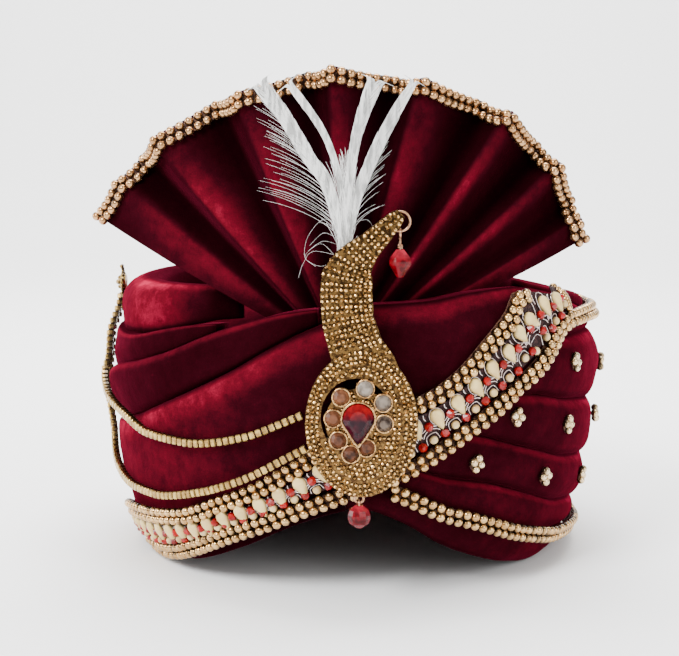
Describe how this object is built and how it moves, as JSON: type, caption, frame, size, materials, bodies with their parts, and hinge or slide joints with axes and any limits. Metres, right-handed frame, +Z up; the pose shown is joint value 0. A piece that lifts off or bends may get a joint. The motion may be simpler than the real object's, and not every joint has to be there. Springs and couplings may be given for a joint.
{
  "type": "tied turban",
  "caption": "Stiff tied velvet turban with wound folds, an upright pleated fan, jewelled lace bands, two swagged chains and a curved brooch with a feather plume.",
  "frame": {"origin": "middle of the turban's box, on the surface that its rim rests on", "axes": "+Z up; the front, with the brooch, faces -Y; +X is to the right of someone who looks at the front"},
  "size_m": [0.2258, 0.2678, 0.2123],
  "materials": {
    "velvet": "crushed velvet, deep maroon",
    "lace": "net set with drops and beads",
    "gold_balls": "polished balls",
    "brooch_gold": "antique gold set with small stones",
    "chain_gold": "pale gold plating",
    "ruby": "cut, foiled at the back",
    "champagne_stone": "cut, foiled at the back",
    "coral_glass": "cut bead",
    "feather": "white feather"
  },
  "bodies": {
    "root": {"cap": "velvet", "hem_roll": "velvet", "low_roll": "velvet", "middle_roll": "velvet", "high_fold": "velvet", "top_fold": "velvet", "front_panel": "velvet", "sweep_fold": "velvet", "crown_wrap": "velvet", "fan": "velvet", "fan_trim": "gold_balls", "band_lace": "lace", "band_edge_upper": "gold_balls", "band_edge_lower": "gold_balls", "narrow_trim": "gold_balls", "chain_upper": "chain_gold", "chain_lower": "chain_gold", "chain_hook": "chain_gold", "brooch": "brooch_gold", "petal_stone_1": "champagne_stone", "petal_stone_2": "champagne_stone", "petal_stone_3": "champagne_stone", "petal_stone_4": "champagne_stone", "petal_stone_5": "champagne_stone", "petal_stone_6": "champagne_stone", "petal_stone_7": "champagne_stone", "petal_stone_8": "champagne_stone", "centre_stone": "ruby", "tip_drop": "coral_glass", "lower_drop": "coral_glass", "plume": "feather"}
  },
  "joints": []
}
